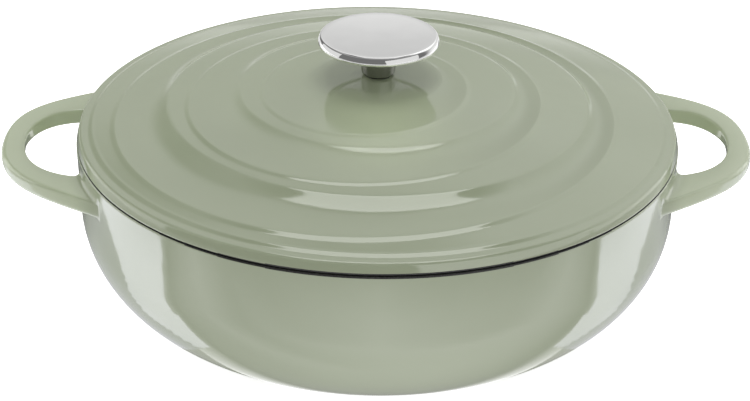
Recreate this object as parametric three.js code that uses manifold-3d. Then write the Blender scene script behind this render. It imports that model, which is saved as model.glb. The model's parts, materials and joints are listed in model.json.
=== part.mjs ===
// Shallow two-handled pan in enamelled cast iron, with a rippled lid and a polished steel knob.
// Millimetres, +Z up. The origin is the middle of the base, and the handles lie along X.

import * as THREE from 'three';
import { mergeVertices } from 'three/addons/utils/BufferGeometryUtils.js';
import loadManifold from 'manifold-3d';

// Pan casting
const PAN_RADIUS = 143; // outside of the wall where the corner ends
const PAN_HEIGHT = 84; // base to the rim's flat face
const WALL_DRAFT = 0.6; // how far the wall leans out between the corner and the rim
const WALL = 3.8;
const FLOOR = 4.3;
const CORNER_RUN = 54.2; // the wide round between base and wall, measured inwards
const CORNER_RISE = 53.1; // and upwards
const RIM_ROUND = 0.9;

// Loop handles, cast with the pan
const HANDLE_PROJECTION = 36.7; // wall to the tip of the loop
const HANDLE_ROOT_HALF = 65; // half the span of the loop where it leaves the wall
const HANDLE_SPLAY = 32; // degrees between an arm's outer edge and X
const ARM_PULL = 36.5; // how far the outer edge runs on before it turns
const TIP_PULL = 39; // how broad the outer edge is at the tip
const GRIP_WIDTH = 11; // width of the bar at the tip
const WINDOW_HALF = 35.8; // half the span of the finger window at the wall
const WINDOW_ARM_PULL = 24; // the same two pulls for the window's edge
const WINDOW_TIP_PULL = 16;
const HANDLE_DROP_ROOT = 6.6; // rim down to the top of the handle at the wall
const HANDLE_DROP_TIP = 4.4;
const HANDLE_THICK_ROOT = 10.8;
const HANDLE_THICK_TIP = 6.2;
const BAR_ROUND = 1.8; // round of the bar's four long edges
const ROOT_FLARE = 2.6; // how far the bar swells on every side where it meets the wall
const FLARE_FADE = 12; // how soon the flare dies out along the arm
const ROOT_EMBED = 3; // how deep the loop starts in the wall

// Lid casting
const SEAT_GAP = 0.3; // lid to rim, at rest
const LID_OVERHANG = -0.4; // lid edge beyond the rim
const LID_EDGE_HEIGHT = 5.3; // height of the lid's edge
const LID_EDGE_LEAN = 0.9; // how far the edge leans in between its two rounds
const LID_TOP_ROUND = 1.8;
const LID_LOWER_ROUND = 0.8;
const DOME_RISE = 23.4; // edge to the crown
const DOME_POWER = 1.6; // 1 is a cone, 2 a bowl
const LID_WALL = 3.4; // thickness under the deepest ripple
const SPIGOT_DEPTH = 5; // ring under the lid that locates it in the mouth of the pan
const SPIGOT_WIDTH = 4;
const SPIGOT_CLEARANCE = 1.4;
const LAND_MARGIN = 1.5; // flat seats for the knob and the washer reach this far past them

// Ripples on the lid. Round crests share the lid's centre. Outside each one lies a hollow
// that ends at a low lip, a circle pushed to one side, so the hollow is a crescent.
const RIPPLE_BORDER = 8; // edge of the lid to the outermost crest
const RIPPLE_PITCH = 35;
const RIPPLE_DEPTH = 1.7; // of the outermost hollow
const RIPPLE_SKEW = 0.7; // below 1 the hollow is deepest near its crest
const RIPPLE_LEAN = 0.6; // sideways push of a lip, as a share of the hollow's width
const RIPPLE_LEAN_ANGLE = -128; // degrees from +X, towards the front left
const LIP_HEIGHT = 0.35;
const LIP_RUN = 3;
const BORDER_STEP_RUN = 2.5; // outermost crest down to the flat border
const BORDER_STEP_LIFT = 0.3;

// Knob
const KNOB_RADIUS = 28.7;
const KNOB_HEIGHT = 19.5; // foot of the stem to the top face
const CAP_FACE = 2.6; // thickness of the cap's top
const CAP_LIP_DEPTH = 1.4; // how far the cap's rim wraps down round the underplate
const CAP_LIP_WIDTH = 4;
const CAP_DISH = 0.3; // hollow of the top face
const RIM_FOOT_ROUND = 2.1; // the rim is a chain of three rounds, from below
const RIM_FLANK_ROUND = 6;
const RIM_TOP_ROUND = 1.3;
const RIM_UNDERCUT = -20; // degrees that the rim's face looks up, where it starts
const RIM_FLANK_FROM = 12; // and where the rounds meet
const RIM_FLANK_TO = 31;
const UNDERPLATE_DISH = 3; // fall of the underside from the rim to the stem
const STEM_FOOT_RADIUS = 8;
const STEM_HEAD_RADIUS = 9.4;
const STEM_TENON_RADIUS = 5; // peg that holds the underplate
const STEM_FOOT_ROUND = 1.4;

// Fixing of the knob, from below
const SCREW_RADIUS = 3;
const SCREW_CLEARANCE = 0.5; // in the lid, the gasket and the washers
const THREAD_ENGAGEMENT = 8.6;
const THREAD_RUNOUT = 1.2;
const SCREW_TIP_CHAMFER = 0.8;
const SCREW_HEAD_RADIUS = 5.8;
const SCREW_HEAD_HEIGHT = 4;
const SCREW_HEAD_ROUND = 1.4;
const SOCKET_RADIUS = 2.3;
const SOCKET_DEPTH = 2.2;
const GASKET_INSET = 1.4; // gasket short of the stem's outside
const GASKET_THICK = 0.6;
const FLAT_WASHER_RADIUS = 8.5;
const FLAT_WASHER_THICK = 1.2;
const SPRING_WASHER_RADIUS = 5.6;
const SPRING_WASHER_THICK = 1.6;
const SPRING_WASHER_SLIT = 12; // degrees
const FIT = 0.3; // gap between parts that are pushed together

// How finely round forms are divided
const BODY_SEGMENTS = 60;
const KNOB_SEGMENTS = 40;
const FIXING_SEGMENTS = 24;
const CORNER_STEPS = 9;
const ROUND_STEPS = 3;
const HOLLOW_STEPS = 6;
const UNDERSIDE_STEPS = 7;
const ARM_STEPS = 10;
const BAR_ROUND_STEPS = 2;
const CUT_MARGIN = 1; // how far a cutting body passes the face that it cuts
const MERGE_DISTANCE = 1e-4; // vertices closer than this are one

const wasm = await loadManifold();
wasm.setup();

const at = (radius, height) => new THREE.Vector2(radius, height);
const radians = THREE.MathUtils.degToRad;
const mix = THREE.MathUtils.lerp;

// Points of an elliptical arc in a profile, in degrees from the outward direction
function arc(centre, run, rise, from, to, steps) {
  const curve = new THREE.EllipseCurve(
    centre.x, centre.y, run, rise, radians(from), radians(to), to < from,
  );
  return curve.getPoints(steps);
}

// Revolves a profile of radius and height about Z. It runs out, up and back in.
function revolve(profile, segments) {
  const geometry = new THREE.LatheGeometry(profile, segments);
  return geometry.rotateX(Math.PI / 2);
}

// Plain ring or disc with square edges, standing on z = 0
function ring(inner, outer, height, segments) {
  const profile = [at(inner, 0), at(outer, 0), at(outer, height), at(inner, height), at(inner, 0)];
  return revolve(profile, segments);
}

// Skins a row of rings that have equally many points, and closes both ends
function loft(rings) {
  const sides = rings[0].length;
  const index = [];
  for (let row = 0; row + 1 < rings.length; row += 1) {
    for (let side = 0; side < sides; side += 1) {
      const next = (side + 1) % sides;
      const low = row * sides;
      const high = low + sides;
      index.push(low + side, low + next, high + next);
      index.push(low + side, high + next, high + side);
    }
  }
  const last = (rings.length - 1) * sides;
  for (let side = 1; side + 1 < sides; side += 1) {
    index.push(0, side + 1, side);
    index.push(last, last + side, last + side + 1);
  }
  const geometry = new THREE.BufferGeometry().setFromPoints(rings.flat());
  geometry.setIndex(index);
  return geometry;
}

// Closed mesh to a solid that can be joined and cut
function solidOf(geometry) {
  const bare = geometry.clone();
  bare.deleteAttribute('normal');
  bare.deleteAttribute('uv');
  const merged = mergeVertices(bare, MERGE_DISTANCE);
  const corners = merged.index.array;
  const faces = [];
  for (let k = 0; k < corners.length; k += 3) {
    const [a, b, c] = corners.slice(k, k + 3);
    if (a !== b && b !== c && c !== a) faces.push(a, b, c);
  }
  const mesh = new wasm.Mesh({
    numProp: 3,
    vertProperties: new Float32Array(merged.attributes.position.array),
    triVerts: new Uint32Array(faces),
  });
  return new wasm.Manifold(mesh);
}

function geometryOf(solid) {
  const mesh = solid.getMesh();
  const geometry = new THREE.BufferGeometry();
  geometry.setAttribute('position', new THREE.BufferAttribute(mesh.vertProperties, 3));
  geometry.setIndex(new THREE.BufferAttribute(mesh.triVerts, 1));
  geometry.computeVertexNormals();
  return geometry;
}

// Pan casting
const baseRadius = PAN_RADIUS - CORNER_RUN;
const rimRadius = PAN_RADIUS + WALL_DRAFT;
const mouthRadius = rimRadius - WALL;

function panBlank() {
  return revolve([
    at(0, 0),
    ...arc(at(baseRadius, CORNER_RISE), CORNER_RUN, CORNER_RISE, -90, 0, CORNER_STEPS),
    ...arc(at(rimRadius - RIM_ROUND, PAN_HEIGHT - RIM_ROUND), RIM_ROUND, RIM_ROUND, 0, 90, ROUND_STEPS),
    at(0, PAN_HEIGHT),
  ], BODY_SEGMENTS);
}

function panCavity() {
  const run = CORNER_RUN - WALL;
  const rise = CORNER_RISE - FLOOR;
  const top = PAN_HEIGHT + CUT_MARGIN;
  return revolve([
    at(0, FLOOR),
    ...arc(at(baseRadius, CORNER_RISE), run, rise, -90, 0, CORNER_STEPS),
    ...arc(at(mouthRadius + RIM_ROUND, PAN_HEIGHT - RIM_ROUND), RIM_ROUND, RIM_ROUND, 180, 90, ROUND_STEPS),
    at(mouthRadius + RIM_ROUND, top),
    at(0, top),
  ], BODY_SEGMENTS);
}

// Half of the loop's outer edge and of its window's edge in plan, from the wall to the tip
function handleEdges() {
  const tip = PAN_RADIUS + HANDLE_PROJECTION;
  const splay = radians(HANDLE_SPLAY);
  const root = at(Math.sqrt(PAN_RADIUS ** 2 - HANDLE_ROOT_HALF ** 2), HANDLE_ROOT_HALF);
  const turn = at(root.x + ARM_PULL * Math.cos(splay), root.y - ARM_PULL * Math.sin(splay));
  const outer = new THREE.CubicBezierCurve(root, turn, at(tip, TIP_PULL), at(tip, 0));

  const end = tip - GRIP_WIDTH;
  const sill = at(Math.sqrt(PAN_RADIUS ** 2 - WINDOW_HALF ** 2), WINDOW_HALF);
  const inner = new THREE.CubicBezierCurve(
    sill,
    at(sill.x + WINDOW_ARM_PULL, WINDOW_HALF),
    at(end, WINDOW_TIP_PULL),
    at(end, 0),
  );
  return { outer, inner };
}

// One section across the bar, a box with round edges between the window and the outer edge
function barSection(inner, outer, top, bottom, flare) {
  const across = outer.clone().sub(inner);
  const width = across.length() + 2 * flare;
  const height = top - bottom + 2 * flare;
  across.normalize();
  const start = inner.clone().addScaledVector(across, -flare);
  const near = BAR_ROUND;
  const far = width - BAR_ROUND;
  const low = BAR_ROUND;
  const high = height - BAR_ROUND;
  const corners = [[far, high, 0], [near, high, 90], [near, low, 180], [far, low, 270]];
  return corners.flatMap(([over, up, from]) => {
    const round = arc(at(over, up), BAR_ROUND, BAR_ROUND, from, from + 90, BAR_ROUND_STEPS);
    return round.map(({ x, y }) => {
      const place = start.clone().addScaledVector(across, x);
      return new THREE.Vector3(place.x, place.y, bottom - flare + y);
    });
  });
}

// Loop on the +X side, lofted from one root round the tip to the other
function handle() {
  const { outer, inner } = handleEdges();
  const arm = [];
  for (let step = 0; step <= ARM_STEPS; step += 1) {
    const t = step / ARM_STEPS;
    const swell = (1 - t) ** 2;
    const top = PAN_HEIGHT - mix(HANDLE_DROP_TIP, HANDLE_DROP_ROOT, swell);
    const bottom = top - mix(HANDLE_THICK_TIP, HANDLE_THICK_ROOT, swell);
    const flare = ROOT_FLARE * (1 - t) ** FLARE_FADE;
    arm.push(barSection(inner.getPoint(t), outer.getPoint(t), top, bottom, flare));
  }
  const buried = arm[0].map((point) => point.clone().setX(point.x - ROOT_EMBED));
  const back = [buried, ...arm];
  const mirrored = back.slice(0, -1).reverse().map(
    (section) => section.map((point) => new THREE.Vector3(point.x, -point.y, point.z)),
  );
  // a mirrored section keeps its points in the same order along the bar
  return loft([...back, ...mirrored]);
}

function pan() {
  const right = handle();
  const left = right.clone().rotateZ(Math.PI);
  const casting = solidOf(panBlank()).add(solidOf(right)).add(solidOf(left));
  return geometryOf(casting.subtract(solidOf(panCavity())));
}

// Lid casting, with z = 0 at its seat
const lidRadius = rimRadius + LID_OVERHANG;
const lidTopEdge = lidRadius - LID_EDGE_LEAN - LID_TOP_ROUND;
const edgeTop = LID_EDGE_HEIGHT - LID_TOP_ROUND;
const edgeTilt = THREE.MathUtils.radToDeg(Math.atan2(LID_EDGE_LEAN, edgeTop - LID_LOWER_ROUND));
const outerCrest = lidRadius - RIPPLE_BORDER;
const hollowWidth = RIPPLE_PITCH / 2;
const boreRadius = SCREW_RADIUS + SCREW_CLEARANCE;

const gasketRadius = STEM_FOOT_RADIUS - GASKET_INSET;
const upperLand = gasketRadius + LAND_MARGIN;
const lowerLand = FLAT_WASHER_RADIUS + LAND_MARGIN;

const dome = (radius) => LID_EDGE_HEIGHT + DOME_RISE * (1 - (radius / lidTopEdge) ** DOME_POWER);
const underside = (radius) => dome(radius) - RIPPLE_DEPTH - LID_WALL;
const landTop = dome(upperLand);
const landBottom = underside(lowerLand);

// Rings of the lid's top from the edge inwards: radius, share of the sideways push, height on the dome
function rippleRings() {
  const rings = [{ radius: outerCrest, push: 0, relief: 0 }];
  const deepest = outerCrest - RIPPLE_PITCH;
  for (let crest = deepest; crest > upperLand + hollowWidth; crest -= RIPPLE_PITCH) {
    const depth = (RIPPLE_DEPTH * crest) / deepest;
    rings.push({ radius: crest + hollowWidth + LIP_RUN, push: 1, relief: 0 });
    for (let step = HOLLOW_STEPS; step >= 0; step -= 1) {
      const share = step / HOLLOW_STEPS;
      const sag = depth * Math.sin(Math.PI * share ** RIPPLE_SKEW);
      rings.push({
        radius: crest + hollowWidth * share,
        push: share,
        relief: LIP_HEIGHT * share ** 2 - sag,
      });
    }
  }
  return rings;
}

function lid() {
  const spigotOuter = mouthRadius - SPIGOT_CLEARANCE;
  const spigotInner = spigotOuter - SPIGOT_WIDTH;
  const vault = [];
  for (let step = 0; step <= UNDERSIDE_STEPS; step += 1) {
    const radius = mix(lowerLand, spigotInner, step / UNDERSIDE_STEPS);
    vault.push(at(radius, underside(radius)));
  }
  const edge = [
    at(boreRadius, landBottom),
    ...vault,
    at(spigotInner, -SPIGOT_DEPTH),
    at(spigotOuter, -SPIGOT_DEPTH),
    at(spigotOuter, 0),
    at(lidRadius - LID_LOWER_ROUND, 0),
    at(lidRadius, LID_LOWER_ROUND),
    ...arc(at(lidTopEdge, edgeTop), LID_TOP_ROUND, LID_TOP_ROUND, edgeTilt, 90, ROUND_STEPS),
    at(outerCrest + BORDER_STEP_RUN, LID_EDGE_HEIGHT + BORDER_STEP_LIFT),
  ];
  const rings = rippleRings();
  const profile = [
    ...edge,
    ...rings.map(({ radius, relief }) => at(radius, dome(radius) + relief)),
    at(upperLand, landTop),
    at(boreRadius, landTop),
    at(boreRadius, landBottom),
  ];
  const geometry = revolve(profile, BODY_SEGMENTS);

  // push the lips to one side and lay every ring on the dome again
  const push = hollowWidth * RIPPLE_LEAN;
  const pushX = push * Math.cos(radians(RIPPLE_LEAN_ANGLE));
  const pushY = push * Math.sin(radians(RIPPLE_LEAN_ANGLE));
  const position = geometry.attributes.position;
  for (let segment = 0; segment <= BODY_SEGMENTS; segment += 1) {
    rings.forEach((station, row) => {
      const vertex = segment * profile.length + edge.length + row;
      const x = position.getX(vertex) + pushX * station.push;
      const y = position.getY(vertex) + pushY * station.push;
      position.setXYZ(vertex, x, y, dome(Math.hypot(x, y)) + station.relief);
    });
  }
  geometry.computeVertexNormals();
  return geometry;
}

// Knob, with z = 0 at the foot of its stem
const capBottom = KNOB_HEIGHT - CAP_FACE;
const lipBottom = capBottom - CAP_LIP_DEPTH;
const stemHeight = lipBottom - UNDERPLATE_DISH;
const lipInner = KNOB_RADIUS - CAP_LIP_WIDTH;

// Rim of the cap from its lower edge up to the top face, each round going on from the last
function capRim() {
  const rounds = [
    [RIM_FOOT_ROUND, RIM_UNDERCUT, RIM_FLANK_FROM],
    [RIM_FLANK_ROUND, RIM_FLANK_FROM, RIM_FLANK_TO],
    [RIM_TOP_ROUND, RIM_FLANK_TO, 90],
  ];
  const chain = [at(0, 0)];
  for (const [radius, from, to] of rounds) {
    const end = chain.at(-1);
    const centre = at(
      end.x - radius * Math.cos(radians(from)),
      end.y - radius * Math.sin(radians(from)),
    );
    chain.push(...arc(centre, radius, radius, from, to, ROUND_STEPS).slice(1));
  }
  const widest = Math.max(...chain.map(({ x }) => x));
  const stretch = (CAP_FACE + CAP_LIP_DEPTH) / chain.at(-1).y;
  return chain.map(({ x, y }) => at(KNOB_RADIUS - widest + x, lipBottom + y * stretch));
}

function knobCap() {
  return revolve([
    at(0, capBottom),
    at(lipInner, capBottom),
    at(lipInner, lipBottom),
    ...capRim(),
    at(0, KNOB_HEIGHT - CAP_DISH),
  ], KNOB_SEGMENTS);
}

function knobUnderplate() {
  const hole = STEM_TENON_RADIUS + FIT;
  const edge = lipInner - FIT;
  return revolve([
    at(hole, stemHeight),
    at(STEM_HEAD_RADIUS, stemHeight),
    at(edge, lipBottom),
    at(edge, capBottom),
    at(hole, capBottom),
    at(hole, stemHeight),
  ], KNOB_SEGMENTS);
}

function knobStem() {
  const bore = SCREW_RADIUS + FIT;
  const depth = THREAD_ENGAGEMENT + THREAD_RUNOUT;
  const footRound = at(STEM_FOOT_RADIUS - STEM_FOOT_ROUND, STEM_FOOT_ROUND);
  return revolve([
    at(0, depth),
    at(bore, depth),
    at(bore, 0),
    ...arc(footRound, STEM_FOOT_ROUND, STEM_FOOT_ROUND, 270, 360, ROUND_STEPS),
    at(STEM_HEAD_RADIUS, stemHeight),
    at(STEM_TENON_RADIUS, stemHeight),
    at(STEM_TENON_RADIUS, capBottom),
    at(0, capBottom),
  ], FIXING_SEGMENTS);
}

// Fixing under the lid, from the lid down
const flatWasherLevel = landBottom - FLAT_WASHER_THICK;
const springWasherLevel = flatWasherLevel - SPRING_WASHER_THICK;

// Screw, with z = 0 where its head bears on the spring washer
function knobScrew() {
  const stack = landTop + GASKET_THICK - springWasherLevel;
  const length = stack + THREAD_ENGAGEMENT;
  const socketFloor = SOCKET_DEPTH - SCREW_HEAD_HEIGHT;
  return revolve([
    at(0, socketFloor),
    at(SOCKET_RADIUS, socketFloor),
    at(SOCKET_RADIUS, -SCREW_HEAD_HEIGHT),
    at(SCREW_HEAD_RADIUS - SCREW_HEAD_ROUND, -SCREW_HEAD_HEIGHT),
    at(SCREW_HEAD_RADIUS, SCREW_HEAD_ROUND - SCREW_HEAD_HEIGHT),
    at(SCREW_HEAD_RADIUS, 0),
    at(SCREW_RADIUS, 0),
    at(SCREW_RADIUS, length - SCREW_TIP_CHAMFER),
    at(SCREW_RADIUS - SCREW_TIP_CHAMFER, length),
    at(0, length),
  ], FIXING_SEGMENTS);
}

// Split ring, drawn as it lies when the screw is tight
function springWasher() {
  const half = radians(SPRING_WASHER_SLIT) / 2;
  const outline = new THREE.Shape();
  outline.absarc(0, 0, SPRING_WASHER_RADIUS, half, 2 * Math.PI - half, false);
  outline.absarc(0, 0, boreRadius, 2 * Math.PI - half, half, true);
  return new THREE.ExtrudeGeometry(outline, {
    depth: SPRING_WASHER_THICK,
    bevelEnabled: false,
    curveSegments: FIXING_SEGMENTS,
  });
}

// Finishes
const enamel = new THREE.MeshStandardMaterial({ color: 0xa7ae98, roughness: 0.22, metalness: 0 });
const polished = new THREE.MeshStandardMaterial({ color: 0xc9c9c7, roughness: 0.08, metalness: 1 });
const turned = new THREE.MeshStandardMaterial({ color: 0xb9bab8, roughness: 0.2, metalness: 1 });
const zinced = new THREE.MeshStandardMaterial({ color: 0xa9abad, roughness: 0.4, metalness: 1 });
const heatproof = new THREE.MeshStandardMaterial({ color: 0x1d1d1c, roughness: 0.85, metalness: 0 });

const flatRing = (outer, height) => ring(boreRadius, outer, height, FIXING_SEGMENTS);

function piece(name, geometry, material, height) {
  const mesh = new THREE.Mesh(geometry, material.clone());
  mesh.name = name;
  mesh.position.z = height;
  return mesh;
}

const knob = new THREE.Group();
knob.position.z = landTop + GASKET_THICK;
knob.add(
  piece('knob_stem', knobStem(), turned, 0),
  piece('knob_underplate', knobUnderplate(), polished, 0),
  piece('knob_cap', knobCap(), polished, 0),
);

const cover = new THREE.Group();
cover.position.z = PAN_HEIGHT + SEAT_GAP;
cover.add(
  piece('lid', lid(), enamel, 0),
  piece('knob_gasket', flatRing(gasketRadius, GASKET_THICK), heatproof, landTop),
  piece('flat_washer', flatRing(FLAT_WASHER_RADIUS, FLAT_WASHER_THICK), zinced, flatWasherLevel),
  piece('spring_washer', springWasher(), zinced, springWasherLevel),
  piece('knob_screw', knobScrew(), zinced, springWasherLevel),
  knob,
);

const product = new THREE.Group();
product.add(piece('pan', pan(), enamel, 0), cover);

export default product;
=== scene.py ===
"""Looks of the enamelled pan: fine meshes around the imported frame, finishes, studio light and camera."""

import json
import math

import bpy
import bmesh
from mathutils import Matrix, Vector
from mathutils.geometry import delaunay_2d_cdt

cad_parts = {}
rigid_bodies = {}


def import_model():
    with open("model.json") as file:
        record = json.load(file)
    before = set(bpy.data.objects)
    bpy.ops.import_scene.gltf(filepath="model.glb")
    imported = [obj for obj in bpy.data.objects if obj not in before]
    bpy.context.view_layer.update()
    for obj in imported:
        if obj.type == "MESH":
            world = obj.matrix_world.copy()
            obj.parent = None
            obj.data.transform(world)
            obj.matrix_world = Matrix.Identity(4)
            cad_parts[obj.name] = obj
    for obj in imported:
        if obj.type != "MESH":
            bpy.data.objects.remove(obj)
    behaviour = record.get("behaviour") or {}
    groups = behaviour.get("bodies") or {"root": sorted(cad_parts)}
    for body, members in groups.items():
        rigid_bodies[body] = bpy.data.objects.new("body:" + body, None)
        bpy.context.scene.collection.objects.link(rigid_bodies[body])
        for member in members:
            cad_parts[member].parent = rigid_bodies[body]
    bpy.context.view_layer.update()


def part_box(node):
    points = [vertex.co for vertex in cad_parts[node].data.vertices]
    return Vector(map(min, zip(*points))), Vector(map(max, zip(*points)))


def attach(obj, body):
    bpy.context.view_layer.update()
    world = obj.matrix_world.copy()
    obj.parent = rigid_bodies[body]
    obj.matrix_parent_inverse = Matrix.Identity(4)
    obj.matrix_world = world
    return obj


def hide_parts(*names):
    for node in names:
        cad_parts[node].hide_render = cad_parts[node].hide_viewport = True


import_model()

# Units: every size below is in millimetres
MM = 0.001


def box_mm(node):
    low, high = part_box(node)
    return low / MM, high / MM


pan_high = box_mm("pan")[1]
lid_low, lid_high = box_mm("lid")
cap_low, cap_high = box_mm("knob_cap")
plate_low, plate_high = box_mm("knob_underplate")
stem_low, stem_high = box_mm("knob_stem")
gasket_low, gasket_high = box_mm("knob_gasket")
washer_low, washer_high = box_mm("flat_washer")
spring_low, spring_high = box_mm("spring_washer")
screw_low, screw_high = box_mm("knob_screw")

# Pan casting
WALL_DRAFT = 0.6
PAN_RADIUS = pan_high.y - WALL_DRAFT
PAN_HEIGHT = pan_high.z
WALL = 3.8
FLOOR = 4.3
CORNER_RUN = 54.2
CORNER_RISE = 53.1
RIM_ROUND = 0.9

# Loop handles
HANDLE_TIP = pan_high.x
HANDLE_ROOT_HALF = 65
HANDLE_SPLAY = math.radians(32)
ARM_PULL = 36.5
TIP_PULL = 39
GRIP_WIDTH = 11
WINDOW_HALF = 35.8
WINDOW_ARM_PULL = 24
WINDOW_TIP_PULL = 16
HANDLE_DROP_ROOT = 6.6
HANDLE_DROP_TIP = 4.4
HANDLE_THICK_ROOT = 8.3
HANDLE_THICK_TIP = 6.5
BAR_ROUND_ROOT = 1
BAR_ROUND_TIP = 2.9
BAR_ROUND_WINDOW = 1.5
BAR_CROWN = 0.4  # how far the bar's top and bottom are arched
FILLET_TOP = 4.8
FILLET_BOTTOM = 3
FILLET_OUTER = 0.35
FILLET_WINDOW = 1.8

# Lid casting, heights from its seat
SEAT_GAP = 0.3
LID_SEAT = PAN_HEIGHT + SEAT_GAP
LID_RADIUS = lid_high.x
LID_EDGE_HEIGHT = 5.3
LID_EDGE_LEAN = 0.9
LID_TOP_ROUND = 1.8
LID_LOWER_ROUND = 0.8
DOME_RISE = 23.4
DOME_POWER = 1.6
LID_WALL = 3.4
SPIGOT_DEPTH = LID_SEAT - lid_low.z
SPIGOT_WIDTH = 4
SPIGOT_CLEARANCE = 1.4
SPIGOT_ROUND = 1.2
RIPPLE_BORDER = 8
RIPPLE_PITCH = 35
RIPPLE_DEPTH = 1.7
RIPPLE_SKEW = 0.7
RIPPLE_LEAN = 0.6
RIPPLE_LEAN_ANGLE = math.radians(-128)
CREST_SOFTNESS = 0.06  # share of a hollow over which its crest is rounded
LIP_HEIGHT = 0.35
LIP_RUN = 3
BORDER_STEP_RUN = 3.2
BORDER_STEP_LIFT = 0.3
LAND_MARGIN = 1.5
LID_SHARP = 50  # degrees from which an edge is drawn sharp
BORE = 3.5

# Knob
RIM_ROUNDS = ((2.1, -20, 12), (6, 12, 31), (1.3, 31, 90))  # radius, then degrees that the face looks up
CAP_DISH = 0.7
CAP_CHAMFER = 0.3
DISH_POWER = 0.8
STEM_FOOT = 8
STEM_HEAD = stem_high.x
STEM_FOOT_ROUND = 1.4
STEM_FOOT_LEAN = -10  # degrees where the foot's round runs into the flare
TENON = 5
BORE_RUNOUT = 1

# Fixing under the lid
SCREW_RADIUS = 3
SCREW_HEAD_ROUND = 1.4
SCREW_HEAD_CHAMFER = 0.2
SCREW_TIP_CHAMFER = 0.8
SOCKET_RADIUS = 2.3
SOCKET_DEPTH = 2.2
SOCKET_MARGIN = 0.4
WASHER_BEVEL = 0.25
GASKET_BEVEL = 0.15
SPRING_SLIT = math.radians(12)

# How finely the forms are divided
BODY_SEGMENTS = 360
KNOB_SEGMENTS = 144
FIXING_SEGMENTS = 72
CORNER_STEPS = 30
WALL_STEPS = 14
ROUND_STEPS = 6
HOLLOW_STEPS = 28
LIP_STEPS = 6
SLOPE_STEPS = 8
VAULT_STEPS = 30
ARM_STEPS = 44
FILLET_STEPS = 7
BAR_ROUND_STEPS = 6
BAR_FLAT_STEPS = 8
BAR_SIDE_STEPS = 4
KNOB_STEPS = 2 * ROUND_STEPS
BASE_RINGS = (0, 0.5, 0.9)  # shares of the base's radius
FLOOR_RING = 0.5
NEARLY_ZERO = 1e-6
SEWING_TOLERANCE = 1e-7


def mix(a, b, share):
    return a + (b - a) * share


def smooth(share):
    return share * share * (3 - 2 * share)


def clamp(share):
    return min(1, max(0, share))


def ramped(x, start, stop, low, high):
    """Goes from low to high while x goes from start to stop."""
    return mix(low, high, clamp((x - start) / (stop - start)))


def arc(centre, run, rise, start, stop, steps):
    """Points (radius, height) of an elliptical arc, in degrees from the outward direction."""
    points = []
    for step in range(steps + 1):
        angle = math.radians(mix(start, stop, step / steps))
        points.append((centre[0] + run * math.cos(angle), centre[1] + rise * math.sin(angle)))
    return points


def bezier(a, b, c, d, t):
    s = 1 - t
    return a * s**3 + b * (3 * s * s * t) + c * (3 * s * t * t) + d * t**3


def circle(radius, height, segments):
    """One ring of a round form, or a single point on the axis."""
    if radius < NEARLY_ZERO:
        return [Vector((0, 0, height))]
    ring = []
    for k in range(segments):
        angle = 2 * math.pi * k / segments
        ring.append(Vector((radius * math.cos(angle), radius * math.sin(angle), height)))
    return ring


def within(spot, outline):
    """Whether a flat point lies inside a closed outline, by counting crossings."""
    inside = False
    for a, b in zip(outline, outline[1:] + outline[:1]):
        if (a.y > spot.y) != (b.y > spot.y) and spot.x < mix(a.x, b.x, (spot.y - a.y) / (b.y - a.y)):
            inside = not inside
    return inside


class Skin:
    """Vertices and faces of one piece, in millimetres, with a finish for each face."""

    def __init__(self):
        self.points = []
        self.faces = []
        self.finishes = []
        self.normals = {}

    def ring(self, points):
        start = len(self.points)
        self.points.extend(points)
        return list(range(start, len(self.points)))

    def face(self, corners, finish):
        self.faces.append(corners)
        self.finishes.append(finish)

    def bridge(self, low, high, finish, skip=()):
        """Joins two rings side by side. A ring of one point is a pole. The finish can go by the place."""
        count = max(len(low), len(high))
        for k in range(count):
            if k in skip:
                continue
            after = (k + 1) % count
            tone = finish(k) if callable(finish) else finish
            if len(low) == 1:
                self.face([low[0], high[after], high[k]], tone)
            elif len(high) == 1:
                self.face([low[k], low[after], high[0]], tone)
            else:
                self.face([low[k], low[after], high[after], high[k]], tone)

    def stack(self, rings, finish=0, closed=False):
        rows = [self.ring(ring) for ring in rings]
        pairs = list(zip(rows, rows[1:]))
        if closed:
            pairs.append((rows[-1], rows[0]))
        for low, high in pairs:
            self.bridge(low, high, finish)
        return rows

    def patch(self, border, hole, flatten, finish):
        """Fills a patch of a surface between its border and a hole, both in order, in flattened form."""
        loop = border + hole
        spots = [flatten(self.points[index]) for index in loop]
        count = len(border)
        edges = [(k, (k + 1) % count) for k in range(count)]
        edges += [(count + k, count + (k + 1) % len(hole)) for k in range(len(hole))]
        flat, _, triangles, sources, _, _ = delaunay_2d_cdt(spots, edges, [], 0, SEWING_TOLERANCE)
        rim = [spots[count + k] for k in range(len(hole))]
        for corners in triangles:
            middle = sum((flat[k] for k in corners), Vector((0, 0))) / 3
            if not within(middle, rim):
                self.face([loop[sources[k][0]] for k in corners], finish)

    def piece(self, name, materials, body, node, slot, sharp=40):
        """Makes the Blender object, facing outwards, and sets it in the frame."""
        mesh = bpy.data.meshes.new(name)
        mesh.from_pydata([point * MM for point in self.points], [], self.faces)
        for material in materials:
            mesh.materials.append(material)
        mesh.polygons.foreach_set("material_index", self.finishes)
        shape = bmesh.new()
        shape.from_mesh(mesh)
        bmesh.ops.recalc_face_normals(shape, faces=shape.faces)
        shape.to_mesh(mesh)
        shape.free()
        mesh.shade_smooth()
        if self.normals:
            normals = [self.normals.get(v.index, v.normal) for v in mesh.vertices]
            mesh.normals_split_custom_set_from_vertices(normals)
        else:
            mesh.set_sharp_from_angle(angle=math.radians(sharp))
        obj = bpy.data.objects.new(name, mesh)
        bpy.context.scene.collection.objects.link(obj)
        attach(obj, body)
        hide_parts(node)


def turned(name, profile, segments, material, node, slot, closed=False):
    """A piece of the lid, turned from a profile of radius and height."""
    skin = Skin()
    skin.stack([circle(radius, height, segments) for radius, height in profile], closed=closed)
    skin.piece(name, [material], "lid", node, slot)


# Finishes

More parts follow.
